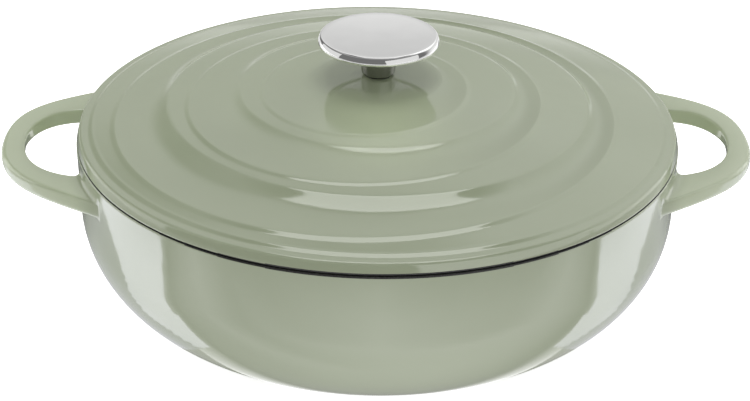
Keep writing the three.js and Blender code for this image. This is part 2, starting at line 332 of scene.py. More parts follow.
ENAMEL_DEEP = (0.328, 0.371, 0.252)
ENAMEL_PALE = (0.347, 0.390, 0.267)
ENAMEL_IOR = 1.75
HANDLE_PAINTED_LIGHT = 1.32  # how much lighter the enamel is painted on the handles: painted light
HANDLE_LIGHT_FROM = 143.7  # distances from the axis between which the painted light comes in
HANDLE_LIGHT_TO = 152
POLISHED_COLOUR = (0.94, 0.94, 0.93)
# The stem's turned steel is darker than the cap's: painted shade, for the shade under the cap that the stem
# mirrors
TURNED_SHADED_COLOUR = (0.42, 0.42, 0.40)


def shader_of(name):
    material = bpy.data.materials.new(name)
    material.use_nodes = True
    tree = material.node_tree
    return material, tree, tree.nodes["Principled BSDF"]


def add(tree, kind, **inputs):
    """Adds a node and sets its inputs by name. An input can be a socket or a value."""
    node = tree.nodes.new(kind)
    for key, value in inputs.items():
        socket = node.inputs[key.replace("_", " ")]
        if isinstance(value, bpy.types.NodeSocket):
            tree.links.new(value, socket)
        else:
            socket.default_value = value
    return node


def place(tree):
    return tree.nodes.new("ShaderNodeTexCoord").outputs["Object"]


def noise(tree, vector, scale, detail=2.0, roughness=0.5):
    node = add(tree, "ShaderNodeTexNoise", Vector=vector, Scale=scale, Detail=detail, Roughness=roughness)
    return node.outputs["Fac"]


def ramp(tree, factor, stops):
    node = add(tree, "ShaderNodeValToRGB", Fac=factor)
    elements = node.color_ramp.elements
    while len(elements) < len(stops):
        elements.new(0.5)
    for element, (position, colour) in zip(elements, stops):
        element.position = position
        element.color = (*colour, 1)
    return node.outputs["Color"]


def spread(tree, factor, low, high):
    node = add(tree, "ShaderNodeMapRange", Value=factor, To_Min=low, To_Max=high)
    return node.outputs["Result"]


def bump(tree, shader, height, strength, distance):
    node = add(tree, "ShaderNodeBump", Height=height, Strength=strength, Distance=distance)
    tree.links.new(node.outputs["Normal"], shader.inputs["Normal"])


def grey(value):
    return (value, value, value)


def axis_distance(tree, where):
    """Distance from the pan's axis, and height."""
    parts = add(tree, "ShaderNodeSeparateXYZ", Vector=where)
    flat = add(tree, "ShaderNodeCombineXYZ", X=parts.outputs["X"], Y=parts.outputs["Y"])
    reach = tree.nodes.new("ShaderNodeVectorMath")
    reach.operation = "LENGTH"
    tree.links.new(flat.outputs["Vector"], reach.inputs[0])
    return reach.outputs["Value"], parts.outputs["Z"]


def eased(tree, value, start, stop, low, high):
    node = add(tree, "ShaderNodeMapRange", Value=value,
               From_Min=start, From_Max=stop, To_Min=low, To_Max=high)
    node.interpolation_type = "SMOOTHSTEP"
    return node.outputs["Result"]


def sage_enamel():
    """Glossy vitreous enamel: faint clouding, painted light that makes the handles lighter, slight waves."""
    material, tree, shader = shader_of("sage_enamel")
    where = place(tree)
    cloud = noise(tree, where, 14, 4)
    colour = ramp(tree, cloud, [(0.3, ENAMEL_DEEP), (0.7, ENAMEL_PALE)])
    # Painted light: the colour gets lighter away from the axis, on the handles
    reach, _ = axis_distance(tree, where)
    painted_light = tree.nodes.new("ShaderNodeVectorMath")
    painted_light.operation = "SCALE"
    tree.links.new(colour, painted_light.inputs["Vector"])
    tree.links.new(eased(tree, reach, HANDLE_LIGHT_FROM * MM, HANDLE_LIGHT_TO * MM, 1, HANDLE_PAINTED_LIGHT), painted_light.inputs["Scale"])
    tree.links.new(painted_light.outputs["Vector"], shader.inputs["Base Color"])
    smear = noise(tree, where, 45, 2)
    tree.links.new(spread(tree, smear, 0.06, 0.11), shader.inputs["Roughness"])
    shader.inputs["IOR"].default_value = ENAMEL_IOR
    peel = noise(tree, where, 90, 1)
    bump(tree, shader, peel, 0.08, 0.001)
    return material


def black_enamel():
    """Matt black enamel with a fine sandy tooth."""
    material, tree, shader = shader_of("black_enamel")
    where = place(tree)
    speck = noise(tree, where, 1400, 2, 0.7)
    colour = ramp(tree, speck, [(0.45, (0.014, 0.014, 0.013)), (0.75, (0.05, 0.05, 0.046))])
    tree.links.new(colour, shader.inputs["Base Color"])
    tree.links.new(spread(tree, noise(tree, where, 60, 3), 0.42, 0.58), shader.inputs["Roughness"])
    bump(tree, shader, speck, 0.25, 0.0004)
    return material


def ring_marks(tree, where, scale):
    """Fine marks round the axis, from the distance to it."""
    reach, height = axis_distance(tree, where)
    line = add(tree, "ShaderNodeCombineXYZ", X=reach, Z=height)
    return noise(tree, line.outputs["Vector"], scale, 3)


def steel(name, colour, rough, marks, depth):
    """Stainless steel with lathe marks that a polish has nearly taken away."""
    material, tree, shader = shader_of(name)
    where = place(tree)
    shader.inputs["Metallic"].default_value = 1
    tint = noise(tree, where, 60, 3)
    low = [value * 0.96 for value in colour]
    tree.links.new(ramp(tree, tint, [(0.3, low), (0.7, colour)]), shader.inputs["Base Color"])
    lines = ring_marks(tree, where, marks)
    tree.links.new(spread(tree, lines, rough * 0.75, rough * 1.25), shader.inputs["Roughness"])
    bump(tree, shader, lines, depth, 0.0002)
    return material


def zinc():
    """Zinc-plated steel, slightly blue and mottled."""
    material, tree, shader = shader_of("zinc")
    where = place(tree)
    shader.inputs["Metallic"].default_value = 1
    mottle = noise(tree, where, 700, 4, 0.6)
    colour = ramp(tree, mottle, [(0.3, (0.46, 0.48, 0.50)), (0.7, (0.58, 0.60, 0.61))])
    tree.links.new(colour, shader.inputs["Base Color"])
    tree.links.new(spread(tree, mottle, 0.28, 0.45), shader.inputs["Roughness"])
    bump(tree, shader, mottle, 0.15, 0.0002)
    return material


def rubber():
    material, tree, shader = shader_of("silicone")
    where = place(tree)
    grain = noise(tree, where, 1800, 2)
    tree.links.new(ramp(tree, grain, [(0.3, grey(0.01)), (0.7, grey(0.02))]), shader.inputs["Base Color"])
    shader.inputs["Roughness"].default_value = 0.7
    bump(tree, shader, grain, 0.2, 0.0002)
    return material


ENAMEL = sage_enamel()
BLACK = black_enamel()
POLISHED = steel("polished_steel", POLISHED_COLOUR, 0.05, 900, 0.01)
TURNED = steel("turned_steel", TURNED_SHADED_COLOUR, 0.12, 2600, 0.05)
ZINC = zinc()
RUBBER = rubber()
OUTSIDE = 0
INSIDE = 1


# Seam between pan and lid: the black enamel of both edges, painted wider in front than at the sides as
# painted shade of the gap

SEAM_SIDE_ROWS = 2
SEAM_SHADE_FROM = 0.72


def black_and_shade_rows(k):
    # In front more rows are black than at the sides: painted shade of the seam, over the edges' own black
    # enamel
    front = -math.sin(2 * math.pi * k / BODY_SEGMENTS)
    return ramped(front, SEAM_SHADE_FROM, 1, SEAM_SIDE_ROWS, ROUND_STEPS)


def seam_black_and_shade(row):
    """Finish of one row of a seam edge, counted from the seam: black enamel, and in front more black as
    painted shade.
    """
    return lambda k: INSIDE if row < black_and_shade_rows(k) else OUTSIDE


# Pan

BASE_RADIUS = PAN_RADIUS - CORNER_RUN
RIM_RADIUS = PAN_RADIUS + WALL_DRAFT
MOUTH_RADIUS = RIM_RADIUS - WALL
WALL_TOP = PAN_HEIGHT - RIM_ROUND
DRAFT = WALL_DRAFT / (WALL_TOP - CORNER_RISE)
CROSSING_RANGE = (-0.25, 0.4)  # where along the loop its lines may enter the wall
HALVINGS = 40
TRAVEL_STEP = 0.002


def wall_radius(height):
    """Outside of the pan at a height, above the round corner."""
    return PAN_RADIUS + DRAFT * (height - CORNER_RISE)


def on_wall(angle, height):
    radius = wall_radius(height)
    return Vector((radius * math.cos(angle), radius * math.sin(angle), height))


def wall_normal(angle):
    return Vector((math.cos(angle), math.sin(angle), -DRAFT)).normalized()


def bar_section():
    """Points of the handle's section: shares of width and height, each with a shift, and the normal.

    The shifts are in units of the edge's round.
    """
    points = []
    sides = (
        (1, 1, 0, BAR_FLAT_STEPS),
        (0, 1, 90, BAR_SIDE_STEPS),
        (0, 0, 180, BAR_FLAT_STEPS),
        (1, 0, 270, BAR_SIDE_STEPS),
    )
    for k, (over, up, start, flat_steps) in enumerate(sides):
        for step in range(BAR_ROUND_STEPS + 1):
            angle = math.radians(start + 90 * step / BAR_ROUND_STEPS)
            normal = (math.cos(angle), math.sin(angle))
            points.append((over, normal[0] + 1 - 2 * over, up, normal[1] + 1 - 2 * up, normal))
        end = points[-1]
        following = sides[(k + 1) % 4]
        goal = (following[0], 1 - 2 * following[0] if flat_steps == BAR_FLAT_STEPS else end[1],
                following[1], 1 - 2 * following[1] if flat_steps == BAR_SIDE_STEPS else end[3])
        for step in range(1, flat_steps):
            share = step / flat_steps
            points.append((*[mix(end[n], goal[n], share) for n in range(4)], end[4]))
    return points


def bar_round(over, t):
    """Round of the bar's edges: crisp outside at the roots, full at the tip."""
    outer = mix(BAR_ROUND_ROOT, BAR_ROUND_TIP, smooth(clamp(t)))
    return mix(BAR_ROUND_WINDOW, outer, over)


def loop_point(spot, t):
    """Point of the loop on the +X, +Y side. t runs from 0 at the wall to 1 in the middle of the tip."""
    root = Vector((math.sqrt(PAN_RADIUS**2 - HANDLE_ROOT_HALF**2), HANDLE_ROOT_HALF))
    turn = root + ARM_PULL * Vector((math.cos(HANDLE_SPLAY), -math.sin(HANDLE_SPLAY)))
    outer = bezier(root, turn, Vector((HANDLE_TIP, TIP_PULL)), Vector((HANDLE_TIP, 0)), t)
    end = HANDLE_TIP - GRIP_WIDTH
    sill = Vector((math.sqrt(PAN_RADIUS**2 - WINDOW_HALF**2), WINDOW_HALF))
    pull = sill + Vector((WINDOW_ARM_PULL, 0))
    inner = bezier(sill, pull, Vector((end, WINDOW_TIP_PULL)), Vector((end, 0)), t)

    over, sideways, up, upwards, _ = spot
    across = outer - inner
    size = bar_round(over, t)
    share = over + sideways * size / across.length
    flat = inner + across * share
    top = PAN_HEIGHT - mix(HANDLE_DROP_TIP, HANDLE_DROP_ROOT, (1 - t) ** 2)
    thick = mix(HANDLE_THICK_ROOT, HANDLE_THICK_TIP, t**3)
    arch = BAR_CROWN * (2 * share - 1) ** 2 * (1 - 2 * up)
    return Vector((flat.x, flat.y, top - thick * (1 - up) + upwards * size + arch))


def fillet_size(normal):
    sideways = FILLET_OUTER if normal[0] > 0 else FILLET_WINDOW
    upright = FILLET_TOP if normal[1] > 0 else FILLET_BOTTOM
    return sideways * normal[0] ** 2 + upright * normal[1] ** 2


def wall_crossing(spot):
    """Where a line of the loop enters the wall, by halving."""
    low, high = CROSSING_RANGE
    for _ in range(HALVINGS):
        middle = (low + high) / 2
        point = loop_point(spot, middle)
        if math.hypot(point.x, point.y) < wall_radius(point.z):
            low = middle
        else:
            high = middle
    return high


def travel(spot, start, distance):
    """How far t goes on when a point moves along the loop by a distance."""
    t = start
    gone = 0
    here = loop_point(spot, t)
    while gone < distance:
        t += TRAVEL_STEP
        there = loop_point(spot, t)
        gone += (there - here).length
        here = there
    return t


def loop_line(spot):
    """Line of the loop from its fillet's edge on the wall to the middle of the tip."""
    entry = wall_crossing(spot)
    corner = loop_point(spot, entry)
    normal = spot[4]
    size = fillet_size(normal)
    start = travel(spot, entry, size)
    arm = loop_point(spot, start)
    angle = math.atan2(corner.y, corner.x) + normal[0] * size / PAN_RADIUS
    edge = on_wall(angle, corner.z + normal[1] * size)
    line = []
    for step in range(FILLET_STEPS):
        share = step / FILLET_STEPS
        line.append(edge * (1 - share) ** 2 + corner * (2 * share * (1 - share)) + arm * share**2)
    for step in range(ARM_STEPS + 1):
        line.append(loop_point(spot, mix(start, 1, step / ARM_STEPS)))
    return line


def loop_rings():
    """Rings of the +X loop from one edge on the wall, round the tip, to the other."""
    lines = [loop_line(spot) for spot in bar_section()]
    back = [list(ring) for ring in zip(*lines)]
    front = [[Vector((p.x, -p.y, p.z)) for p in ring] for ring in reversed(back[:-1])]
    return back + front


ROOT_LOW = 57  # patch of the wall round each arm, in height and in degrees from the handle's middle
ROOT_HIGH = 82.5
ROOT_FROM = 9
ROOT_TO = 34


def pan():
    skin = Skin()
    base_radii = [BASE_RADIUS * share for share in BASE_RINGS]
    base = [circle(radius, 0, BODY_SEGMENTS) for radius in base_radii]
    corner = arc((BASE_RADIUS, CORNER_RISE), CORNER_RUN, CORNER_RISE, -90, 0, CORNER_STEPS)
    rows = skin.stack(base + [circle(radius, height, BODY_SEGMENTS) for radius, height in corner])

    # the wall, with a hole in its grid round each arm of the handles
    heights = [CORNER_RISE, ROOT_LOW]
    heights += [mix(ROOT_LOW, ROOT_HIGH, step / WALL_STEPS) for step in range(1, WALL_STEPS + 1)]
    heights.append(WALL_TOP)
    wall = [rows[-1]]
    for height in heights[1:]:
        wall.append(skin.ring(circle(wall_radius(height), height, BODY_SEGMENTS)))
    degree = BODY_SEGMENTS / 360
    holes = []
    for middle in (0, 180):
        for side in (1, -1):
            ends = sorted((middle + side * ROOT_FROM, middle + side * ROOT_TO))
            holes.append([round(end * degree) for end in ends])
    columns = {k % BODY_SEGMENTS for first, last in holes for k in range(first, last)}
    for low, high, level in zip(wall, wall[1:], heights):
        inside = ROOT_LOW <= level < ROOT_HIGH - NEARLY_ZERO
        skin.bridge(low, high, OUTSIDE, columns if inside else ())
    for row in wall:
        for k, index in enumerate(row):
            skin.normals[index] = wall_normal(2 * math.pi * k / BODY_SEGMENTS)

    # rim and inside
    inner_run = CORNER_RUN - WALL
    inner_rise = CORNER_RISE - FLOOR
    outer_round = arc((RIM_RADIUS - RIM_ROUND, WALL_TOP), RIM_ROUND, RIM_ROUND, 0, 90, ROUND_STEPS)
    inner_round = arc((MOUTH_RADIUS + RIM_ROUND, WALL_TOP), RIM_ROUND, RIM_ROUND, 90, 180, ROUND_STEPS)
    bowl = arc((BASE_RADIUS, CORNER_RISE), inner_run, inner_rise, 0, -90, CORNER_STEPS)
    bottom = [(BASE_RADIUS * FLOOR_RING, FLOOR), (0, FLOOR)]
    rim = [wall[-1]] + [skin.ring(circle(*point, BODY_SEGMENTS)) for point in outer_round[1:]]
    for row, (low, high) in enumerate(zip(rim, rim[1:])):
        skin.bridge(low, high, seam_black_and_shade(ROUND_STEPS - 1 - row))
    rows = skin.stack([circle(*point, BODY_SEGMENTS) for point in inner_round + bowl + bottom], INSIDE)
    skin.bridge(rim[-1], rows[0], INSIDE)

    # handles, sewn into the holes
    lower = heights.index(ROOT_LOW)
    rings = loop_rings()
    for turn, middle in ((1, 0), (-1, 180)):
        turned_rings = [[Vector((turn * p.x, turn * p.y, p.z)) for p in ring] for ring in rings]
        loop = skin.stack(turned_rings, OUTSIDE)
        for ring, side in ((loop[0], turn), (loop[-1], -turn)):
            first, last = holes[(0 if middle == 0 else 2) + (0 if side * turn > 0 else 1)]
            span = [k % BODY_SEGMENTS for k in range(first, last + 1)]
            sides = wall[lower + 1:-2]
            border = [wall[lower][k] for k in span] + [row[span[-1]] for row in sides]
            border += [wall[-2][k] for k in reversed(span)] + [row[span[0]] for row in reversed(sides)]
            heart = math.radians((first + last) / 2 / degree)

            def flatten(point, heart=heart):
                angle = (math.atan2(point.y, point.x) - heart + math.pi) % (2 * math.pi) - math.pi
                return Vector((angle * PAN_RADIUS, point.z))

            skin.patch(border, ring, flatten, OUTSIDE)
            for index in ring:
                skin.normals[index] = wall_normal(math.atan2(skin.points[index].y, skin.points[index].x))
    skin.piece("pan_body", [ENAMEL, BLACK], "pan", "pan", "enamelled_iron")


# Lid

LID_TOP_EDGE = LID_RADIUS - LID_EDGE_LEAN - LID_TOP_ROUND
EDGE_TOP = LID_EDGE_HEIGHT - LID_TOP_ROUND
EDGE_TILT = math.degrees(math.atan2(LID_EDGE_LEAN, EDGE_TOP - LID_LOWER_ROUND))
OUTER_CREST = LID_RADIUS - RIPPLE_BORDER
HOLLOW_WIDTH = RIPPLE_PITCH / 2
UPPER_LAND = gasket_high.x + LAND_MARGIN
LOWER_LAND = washer_high.x + LAND_MARGIN


def dome(radius):
    return LID_EDGE_HEIGHT + DOME_RISE * (1 - (radius / LID_TOP_EDGE) ** DOME_POWER)


def underside(radius):
    return dome(radius) - RIPPLE_DEPTH - LID_WALL


def ripple_stations():
    """Radius, share of the sideways push and height on the dome, from the outermost crest inwards."""
    stations = []
    deepest = OUTER_CREST - RIPPLE_PITCH
    crest = deepest
    while crest > UPPER_LAND + HOLLOW_WIDTH:
        depth = RIPPLE_DEPTH * crest / deepest
        lip = crest + HOLLOW_WIDTH
        for step in range(SLOPE_STEPS):
            share = step / SLOPE_STEPS
            radius = mix(crest + RIPPLE_PITCH, lip + LIP_RUN, share)
            stations.append((radius, smooth(share), 0))
        for step in range(LIP_STEPS):
            share = step / LIP_STEPS
            stations.append((lip + LIP_RUN * (1 - share), 1, LIP_HEIGHT * smooth(share)))
        for step in range(HOLLOW_STEPS):
            share = 1 - step / HOLLOW_STEPS
            soft = math.hypot(share, CREST_SOFTNESS) - CREST_SOFTNESS
            soft /= math.hypot(1, CREST_SOFTNESS) - CREST_SOFTNESS
            sag = depth * math.sin(math.pi * min(1, soft) ** RIPPLE_SKEW)
            stations.append((crest + HOLLOW_WIDTH * share, share, LIP_HEIGHT * share**2 - sag))
        crest -= RIPPLE_PITCH
    for step in range(SLOPE_STEPS + 1):
        stations.append((mix(crest + RIPPLE_PITCH, UPPER_LAND, step / SLOPE_STEPS), 0, 0))
    return stations


def lid():
    skin = Skin()

    def ring(point):
        return circle(point[0], LID_SEAT + point[1], BODY_SEGMENTS)

    spigot_outer = MOUTH_RADIUS - SPIGOT_CLEARANCE
    spigot_inner = spigot_outer - SPIGOT_WIDTH
    vault = []
    for step in range(VAULT_STEPS + 1):
        radius = mix(LOWER_LAND, spigot_inner, step / VAULT_STEPS)
        vault.append((radius, underside(radius)))
    foot = SPIGOT_ROUND - SPIGOT_DEPTH
    edge_low = (LID_RADIUS - LID_LOWER_ROUND, LID_LOWER_ROUND)
    below = [
        (BORE, underside(LOWER_LAND)),
        *vault,
        *arc((spigot_inner + SPIGOT_ROUND, foot), SPIGOT_ROUND, SPIGOT_ROUND, 180, 270, ROUND_STEPS),
        *arc((spigot_outer - SPIGOT_ROUND, foot), SPIGOT_ROUND, SPIGOT_ROUND, 270, 360, ROUND_STEPS),
        (spigot_outer, 0),
    ]
    lower_edge = arc(edge_low, LID_LOWER_ROUND, LID_LOWER_ROUND, 270, 360 + EDGE_TILT, ROUND_STEPS)
    border = arc((LID_TOP_EDGE, EDGE_TOP), LID_TOP_ROUND, LID_TOP_ROUND, EDGE_TILT, 90, ROUND_STEPS)
    step_foot = OUTER_CREST + BORDER_STEP_RUN
    step_low = LID_EDGE_HEIGHT + BORDER_STEP_LIFT
    for step in range(ROUND_STEPS + 1):
        share = step / ROUND_STEPS
        border.append((mix(step_foot, OUTER_CREST, share), mix(step_low, dome(OUTER_CREST), smooth(share))))

    lower = skin.stack([ring(point) for point in below + lower_edge[:1]], INSIDE)
    edge = [lower[-1]] + [skin.ring(ring(point)) for point in lower_edge[1:]]
    for row, (low, high) in enumerate(zip(edge, edge[1:])):
        skin.bridge(low, high, seam_black_and_shade(row))
    upper = [edge[-1]]
    for point in border[:-1]:
        upper.append(skin.ring(ring(point)))
    push = HOLLOW_WIDTH * RIPPLE_LEAN
    push = Vector((push * math.cos(RIPPLE_LEAN_ANGLE), push * math.sin(RIPPLE_LEAN_ANGLE)))
    for radius, share, relief in ripple_stations():
        points = []
        for point in circle(radius, 0, BODY_SEGMENTS):
            x = point.x + push.x * share
            y = point.y + push.y * share
            points.append(Vector((x, y, LID_SEAT + dome(math.hypot(x, y)) + relief)))
        upper.append(skin.ring(points))
    upper.append(skin.ring(ring((BORE, dome(UPPER_LAND)))))
    upper.append(lower[0])
    for low, high in zip(upper, upper[1:]):
        skin.bridge(low, high, OUTSIDE)
    skin.piece("lid_dome", [ENAMEL, BLACK], "lid", "lid", "enamelled_iron", sharp=LID_SHARP)


# Knob

def cap_rim():
    """Rim of the cap from its lower edge to the top face: a chain of rounds, each going on from the last."""
    chain = [(0, 0)]
    for radius, start, stop in RIM_ROUNDS:
        angle = math.radians(start)
        centre = (chain[-1][0] - radius * math.cos(angle), chain[-1][1] - radius * math.sin(angle))
        chain += arc(centre, radius, radius, start, stop, KNOB_STEPS)[1:]
    widest = max(x for x, _ in chain)
    stretch = (cap_high.z - cap_low.z) / chain[-1][1]
    return [(cap_high.x - widest + x, cap_low.z + y * stretch) for x, y in chain]


def knob():
    inner = plate_high.x + SEAT_GAP
    rim = cap_rim()
    top = rim[-1][0]
    dished = []
    for step in range(1, KNOB_STEPS + 1):
        share = step / KNOB_STEPS
        dished.append((top * (1 - share), cap_high.z - CAP_DISH * (1 - (1 - share) ** 2)))
    turned("knob_top", [
        (0, plate_high.z),
        (inner, plate_high.z),
        (inner, cap_low.z + CAP_CHAMFER),
        (inner + CAP_CHAMFER, cap_low.z),
        *rim,
        *dished,
    ], KNOB_SEGMENTS, POLISHED, "knob_cap", "polished_steel")

    dish = [(STEM_HEAD, plate_low.z)]
    for step in range(1, KNOB_STEPS + 1):
        share = step / KNOB_STEPS
        dish.append((mix(STEM_HEAD, plate_high.x, share), mix(plate_low.z, cap_low.z, share**DISH_POWER)))
    hole = TENON + SEAT_GAP
    turned("knob_dish", [
        (hole, plate_low.z), *dish, (plate_high.x, plate_high.z), (hole, plate_high.z),
    ], KNOB_SEGMENTS, POLISHED, "knob_underplate", "polished_steel", closed=True)

    foot = stem_low.z
    flare = []
    for step in range(KNOB_STEPS + 1):
        share = step / KNOB_STEPS
        flare.append((mix(STEM_FOOT, STEM_HEAD, share), mix(foot + STEM_FOOT_ROUND, plate_low.z, share)))
    bore = SCREW_RADIUS + SEAT_GAP
    bore_end = screw_high.z + BORE_RUNOUT
    turned("knob_neck", [
        (0, bore_end), (bore, bore_end), (bore, foot),
        *arc((STEM_FOOT - STEM_FOOT_ROUND, foot + STEM_FOOT_ROUND), STEM_FOOT_ROUND, STEM_FOOT_ROUND,
             -90, STEM_FOOT_LEAN, ROUND_STEPS),
        *flare, (TENON, plate_low.z), (TENON, stem_high.z), (0, stem_high.z),
    ], KNOB_SEGMENTS, TURNED, "knob_stem", "turned_steel")


def bevelled_ring(inner, outer, low, high, bevel):
    return [
        (inner + bevel, low), (outer - bevel, low), (outer, low + bevel), (outer, high - bevel),
        (outer - bevel, high), (inner + bevel, high), (inner, high - bevel), (inner, low + bevel),
    ]


def fixing():
    gasket = bevelled_ring(BORE, gasket_high.x, gasket_low.z, gasket_high.z, GASKET_BEVEL)
    turned("stem_gasket", gasket, FIXING_SEGMENTS, RUBBER, "knob_gasket", "heatproof_rubber", closed=True)
    washer = bevelled_ring(BORE, washer_high.x, washer_low.z, washer_high.z, WASHER_BEVEL)
    turned("washer_flat", washer, FIXING_SEGMENTS, ZINC, "flat_washer", "zinced_steel", closed=True)

    # split washer, open by its slit
    skin = Skin()
    rings = []
    outline = bevelled_ring(BORE, spring_high.y, spring_low.z, spring_high.z, WASHER_BEVEL)
    for step in range(FIXING_SEGMENTS + 1):
        angle = mix(SPRING_SLIT / 2, 2 * math.pi - SPRING_SLIT / 2, step / FIXING_SEGMENTS)
        rings.append([Vector((r * math.cos(angle), r * math.sin(angle), z)) for r, z in outline])
    rows = skin.stack(rings)
    skin.face(rows[0], 0)
    skin.face(rows[-1], 0)
    skin.piece("washer_spring", [ZINC], "lid", "spring_washer", "zinced_steel")

    # screw with a six-sided socket
    skin = Skin()
    head = spring_low.z
    low = screw_low.z
    radius = screw_high.x

    def hexagon(height):
        points = []
        for point in circle(SOCKET_RADIUS, height, FIXING_SEGMENTS):
            angle = math.atan2(point.y, point.x) % (math.pi / 3) - math.pi / 6
            scale = math.cos(math.pi / 6) / math.cos(angle)
            points.append(Vector((point.x * scale, point.y * scale, height)))
        return points

    rings = [[Vector((0, 0, low + SOCKET_DEPTH))], hexagon(low + SOCKET_DEPTH), hexagon(low)]
    profile = [
        (SOCKET_RADIUS + SOCKET_MARGIN, low),
        *arc((radius - SCREW_HEAD_ROUND, low + SCREW_HEAD_ROUND), SCREW_HEAD_ROUND, SCREW_HEAD_ROUND,
             -90, 0, ROUND_STEPS),
        (radius, head - SCREW_HEAD_CHAMFER),
        (radius - SCREW_HEAD_CHAMFER, head),
        (SCREW_RADIUS, head),
        (SCREW_RADIUS, screw_high.z - SCREW_TIP_CHAMFER),
        (SCREW_RADIUS - SCREW_TIP_CHAMFER, screw_high.z),
        (0, screw_high.z),
    ]
    rings += [circle(r, z, FIXING_SEGMENTS) for r, z in profile]
    skin.stack(rings)
    skin.piece("screw_m6", [ZINC], "lid", "knob_screw", "zinced_steel")


pan()
lid()
knob()
fixing()


# Studio: pale floor, white surroundings that are dark on the camera's side, soft lamps and cards

SIDES = (-1, 1)
CARD_LEVEL = 0.001  # the cards lie this far above the floor
SIDE_CARD_NEAR = ((94, -107), (232, -104), (252, -78), (320, -40))
SIDE_CARD_FAR = (
    (94, -102), (110, -91), (127, -75), (147, -63), (178, -55), (201, -37), (216, -13), (228, 10), (240, 45),
    (262, 75), (320, 110),
)
SIDE_CARD_COLOUR = (0.97, 0.97, 1.05)
SLAT_PITCH = 4
SLAT_WIDTH = 2
SLAT_OVERLAP = 1.7
SIDE_CARD_DIM = {-1: 1.05, 1: 0.91}
# distances from the middle between which a level changes, and the levels there
SIDE_CARD_NEAR_GLOW = (94, 160, 2.3, 3.7)
SIDE_CARD_FAR_GLOW = (147, 180, 1.85, 2.45)
SIDE_CARD_FADES = ((200, 240, 1, 0.85), (245, 275, 1, 0.75))
# distance behind the side card, and level there
SIDE_FLOOR = ((0, 1), (3, 0.92), (60, 0.72), (120, 0.22), (400, 0.05))
SIDE_FLOOR_COLUMNS = 40
# distance from the pan's middle, level there, and share of it at the sides
FRONT_FLOOR = (
    (330, 0.24, 0.15), (295, 0.53, 0.15), (265, 1.4, 0.15), (235, 1.95, 0.25), (190, 2.05, 0.45),
    (150, 1.45, 1.1), (125, 0.66, 1.6), (113, 0.4, 1.6), (106, 1.2, 1), (96, 1.6, 1),
)
FRONT_FLOOR_COLUMNS = ((-320, 0.5), (-190, 1), (0, None), (190, 1), (320, 0.5))
# radius, and share of the ring's level there
BOUNCE_ROWS = ((118, 0.4), (150, 1), (290, 1), (450, 0.8))
BOUNCE_SEGMENTS = 72
BOUNCE_BACK = 1.3
BOUNCE_FRONT = 0.95

# What the world shows to mirrors: share of the height, and level there
LIGHT_WALL = (
    (0, 0.75), (0.05, 0.6), (0.13, 0.46), (0.25, 0.53), (0.38, 0.63), (0.52, 0.83), (0.8, 0.9), (0.9, 0.1),
)
DARK_ROOM = ((0.6, 0.17), (0.8, 0.45), (0.9, 0.1))
# degrees between which the light wall starts, stops and gets stronger, and the shares there
WALL_LEFT = (-28, -16, 0, 1)
WALL_RIGHT = (65, 90, 1, 0)
WALL_BOOST = (4, 20, 1.05, 1.42)
DIFFUSE_LEVEL = 0.33
CAMERA_LEVEL = 1

# Floor of the stage, in metres
STAGE_REACH = 3
STAGE_LEVEL = -0.0003
STAGE_GREY = 0.7
STAGE_ROUGHNESS = 0.6
STAGE_SHOWN = 0.85
STAGE_MIRRORED = 0.17

# Lamps, in metres and degrees
OVERHEAD_RISE = 1.15
MIRRORED_SPOT = (0.035, 0.115)
MIRRORED_SIZE = (0.68, 0.73)
MIRRORED_LEVELS = {"glazed": 2.8, "metal": 0.75}
OVERHEAD_SPOT = (0.03, 0.115)
OVERHEAD_SIZE = (0.7, 0.73)
OVERHEAD_LEVEL = 3.6
FILL_AIM = Vector((0, 0, 0.05))
FRONT_FILL_PLACE = (0, -1.3, 0.45)
FRONT_FILL_SIZE = (1.6, 0.8)
FRONT_FILL_LEVEL = 1.15
SIDE_FILL_AZIMUTH = 122
SIDE_FILL_ELEVATION = 14
SIDE_FILL_DISTANCE = 1.35
SIDE_FILL_SIZE = (0.8, 0.8)
SIDE_FILL_LEVEL = 4.4
SNOOT_PLACE = (0, -0.5, 1)
SNOOT_AIM = (0, -0.052, 0.11)
SNOOT_SIZE = (0.04, 0.04)
SNOOT_LEVEL = 0.46
SNOOT_SPREAD = 4
STRIP_AIM = Vector((0, 0, 0.08))
STRIP_ELEVATION = 12
STRIP_DISTANCE = 1.3
STRIP_HEIGHT = 0.8
# azimuth, breadth, and level for each group of pieces
STRIPS = (
    (-104, 52, {"glazed": 1.3, "metal": 0.6}),
    (100, 48, {"glazed": 1.4}),
    (44, 64, {"glazed": 1.4, "metal": 0.6}),
)


def panel(name, centre, target, width, height, radiance):
    """Rectangular soft lamp with a given radiance. It doesn't show to the camera."""
    lamp = bpy.data.lights.new(name, "AREA")
    lamp.shape = "RECTANGLE"
    lamp.size = width
    lamp.size_y = height
    lamp.energy = radiance * math.pi * width * height
    obj = bpy.data.objects.new(name, lamp)
    obj.location = centre
    direction = Vector(target) - Vector(centre)
    obj.rotation_euler = direction.to_track_quat("-Z", "Y").to_euler()
    obj.visible_camera = False
    bpy.context.scene.collection.objects.link(obj)
    return obj


def around(azimuth, elevation, distance):
    """Place round the pan, in degrees. Azimuth 0 is in front, and 90 is on the right."""
    turn = math.radians(azimuth)
    rise = math.radians(elevation)
    flat = distance * math.cos(rise)
    return Vector((flat * math.sin(turn), -flat * math.cos(turn), distance * math.sin(rise)))


def math_node(tree, operation, a, b):
    node = tree.nodes.new("ShaderNodeMath")
    node.operation = operation
    for socket, value in zip(node.inputs, (a, b)):
        if isinstance(value, bpy.types.NodeSocket):
            tree.links.new(value, socket)
        else:
            socket.default_value = value
    return node.outputs["Value"]


